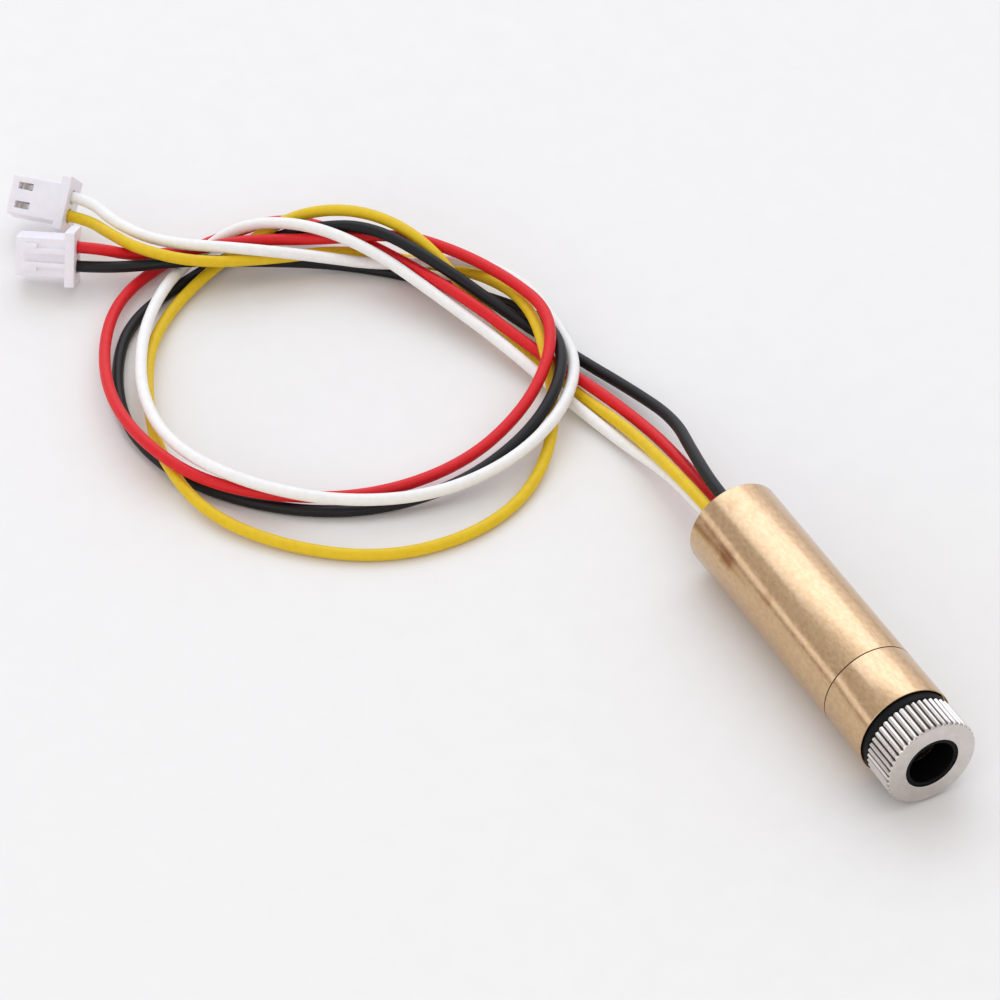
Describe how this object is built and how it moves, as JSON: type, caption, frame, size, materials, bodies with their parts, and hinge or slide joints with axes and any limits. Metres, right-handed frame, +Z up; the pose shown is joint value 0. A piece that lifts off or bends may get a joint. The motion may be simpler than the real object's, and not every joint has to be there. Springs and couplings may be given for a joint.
{
  "type": "laser diode module",
  "caption": "Round brass laser diode module with a knurled screw-in focus ring and a collimating lens, and a bundle of wires that ends in two-way plugs.",
  "frame": {"origin": "on the floor under the middle of the barrel, midway between the rear face and the front of the focus ring", "axes": "+X along the beam, out of the focus ring; +Z up from the surface the barrel lies on"},
  "size_m": [0.1473, 0.0627, 0.012],
  "materials": {
    "brass": "satin turned",
    "nickel": "satin nickel plate",
    "lens_glass": "polished",
    "black_plastic": "matt",
    "seal_rubber": "matt",
    "spring_steel": "drawn",
    "header_steel": "plated",
    "copper": "machined",
    "chip": "matt",
    "gilt_pins": "plated",
    "seal_glass": "fused glass",
    "board_green": "solder mask",
    "chip_resin": "moulded",
    "ceramic": "fired",
    "solder": "bright",
    "potting_resin": "cast",
    "nylon": "moulded",
    "tinned_contact": "bright",
    "white_pvc": "extruded, slightly glossy",
    "black_pvc": "extruded, slightly glossy",
    "yellow_pvc": "extruded, slightly glossy",
    "red_pvc": "extruded, slightly glossy"
  },
  "bodies": {
    "barrel": {"rear_tube": "brass", "front_head": "brass", "focus_spring": "spring_steel", "diode_header": "header_steel", "diode_cap": "header_steel", "diode_window": "lens_glass", "chip_mount": "copper", "laser_chip": "chip", "diode_pins": "gilt_pins", "pin_seals": "seal_glass", "driver_board": "board_green", "driver_chip": "chip_resin", "capacitors": "ceramic", "resistors": "chip_resin", "solder_joints": "solder", "conductor_ends": "solder", "rear_potting": "potting_resin", "signal_housing": "nylon", "power_housing": "nylon", "signal_contacts": "tinned_contact", "power_contacts": "tinned_contact", "white_wire": "white_pvc", "black_wire": "black_pvc", "yellow_wire": "yellow_pvc", "red_wire": "red_pvc"},
    "seal": {"o_ring": "seal_rubber"},
    "focus_assembly": {"focus_ring": "nickel", "lens_retainer": "black_plastic", "collimating_lens": "lens_glass"}
  },
  "joints": [
    {"name": "focus_travel", "type": "slide", "parent": "barrel", "child": "seal", "axis": [1, 0, 0], "range_m": [0, 0.0025], "deforming": ["focus_spring"]},
    {"name": "focus_turn", "type": "hinge", "parent": "seal", "child": "focus_assembly", "pos_m": [0, 0, 0.006], "axis": [1, 0, 0], "range_deg": [0, 1800]}
  ],
  "couplings": [
    {"joint": "focus_turn", "follows": "focus_travel", "rad_per_m": 12566}
  ]
}
